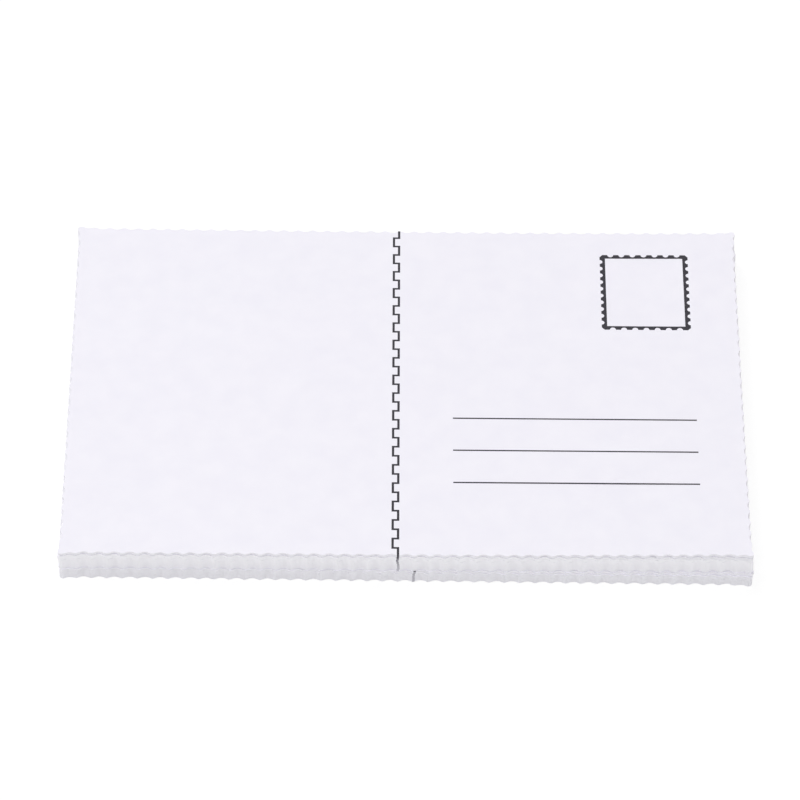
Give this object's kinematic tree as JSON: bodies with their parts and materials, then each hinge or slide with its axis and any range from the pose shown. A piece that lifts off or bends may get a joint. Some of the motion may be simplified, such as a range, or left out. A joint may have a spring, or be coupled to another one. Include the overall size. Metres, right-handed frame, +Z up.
{
  "type": "pile of postcards",
  "caption": "Squared-up pile of loose blank postcards with scalloped edges, printed with address lines, a stamp box and a patterned divider; any card slides out of the pile.",
  "frame": {"origin": "on the table, under the middle of the pile", "axes": "+X along the cards' length, to the right when the upper cards are read; +Y towards their top edge; +Z up"},
  "size_m": [0.153, 0.1024, 0.0084],
  "materials": {
    "card_stock": "uncoated white card, matte, with a die-cut edge",
    "printing_ink": "near-black printing ink soaked into the card, matte; carried by the visual model's print alone"
  },
  "bodies": {
    "lower_postcard_1": {"lower_postcard_1": "card_stock"},
    "lower_postcard_2": {"lower_postcard_2": "card_stock"},
    "lower_postcard_3": {"lower_postcard_3": "card_stock"},
    "lower_postcard_4": {"lower_postcard_4": "card_stock"},
    "lower_postcard_5": {"lower_postcard_5": "card_stock"},
    "upper_postcard_1": {"upper_postcard_1": "card_stock"},
    "upper_postcard_2": {"upper_postcard_2": "card_stock"},
    "upper_postcard_3": {"upper_postcard_3": "card_stock"},
    "upper_postcard_4": {"upper_postcard_4": "card_stock"},
    "upper_postcard_5": {"upper_postcard_5": "card_stock"},
    "upper_postcard_6": {"upper_postcard_6": "card_stock"},
    "upper_postcard_7": {"upper_postcard_7": "card_stock"},
    "upper_postcard_8": {"upper_postcard_8": "card_stock"}
  },
  "joints": [
    {"name": "lower_postcard_2_slide", "type": "slide", "parent": "lower_postcard_1", "child": "lower_postcard_2", "axis": [1, 0, 0], "range_m": [-0.16, 0.16]},
    {"name": "lower_postcard_3_slide", "type": "slide", "parent": "lower_postcard_1", "child": "lower_postcard_3", "axis": [1, 0, 0], "range_m": [-0.16, 0.16]},
    {"name": "lower_postcard_4_slide", "type": "slide", "parent": "lower_postcard_1", "child": "lower_postcard_4", "axis": [1, 0, 0], "range_m": [-0.16, 0.16]},
    {"name": "lower_postcard_5_slide", "type": "slide", "parent": "lower_postcard_1", "child": "lower_postcard_5", "axis": [1, 0, 0], "range_m": [-0.16, 0.16]},
    {"name": "upper_postcard_1_slide", "type": "slide", "parent": "lower_postcard_1", "child": "upper_postcard_1", "axis": [1, 0, 0], "range_m": [-0.16, 0.16]},
    {"name": "upper_postcard_2_slide", "type": "slide", "parent": "lower_postcard_1", "child": "upper_postcard_2", "axis": [1, 0, 0], "range_m": [-0.16, 0.16]},
    {"name": "upper_postcard_3_slide", "type": "slide", "parent": "lower_postcard_1", "child": "upper_postcard_3", "axis": [1, 0, 0], "range_m": [-0.16, 0.16]},
    {"name": "upper_postcard_4_slide", "type": "slide", "parent": "lower_postcard_1", "child": "upper_postcard_4", "axis": [1, 0, 0], "range_m": [-0.16, 0.16]},
    {"name": "upper_postcard_5_slide", "type": "slide", "parent": "lower_postcard_1", "child": "upper_postcard_5", "axis": [1, 0, 0], "range_m": [-0.16, 0.16]},
    {"name": "upper_postcard_6_slide", "type": "slide", "parent": "lower_postcard_1", "child": "upper_postcard_6", "axis": [1, 0, 0], "range_m": [-0.16, 0.16]},
    {"name": "upper_postcard_7_slide", "type": "slide", "parent": "lower_postcard_1", "child": "upper_postcard_7", "axis": [1, 0, 0], "range_m": [-0.16, 0.16]},
    {"name": "upper_postcard_8_slide", "type": "slide", "parent": "lower_postcard_1", "child": "upper_postcard_8", "axis": [1, 0, 0], "range_m": [-0.16, 0.16]}
  ]
}
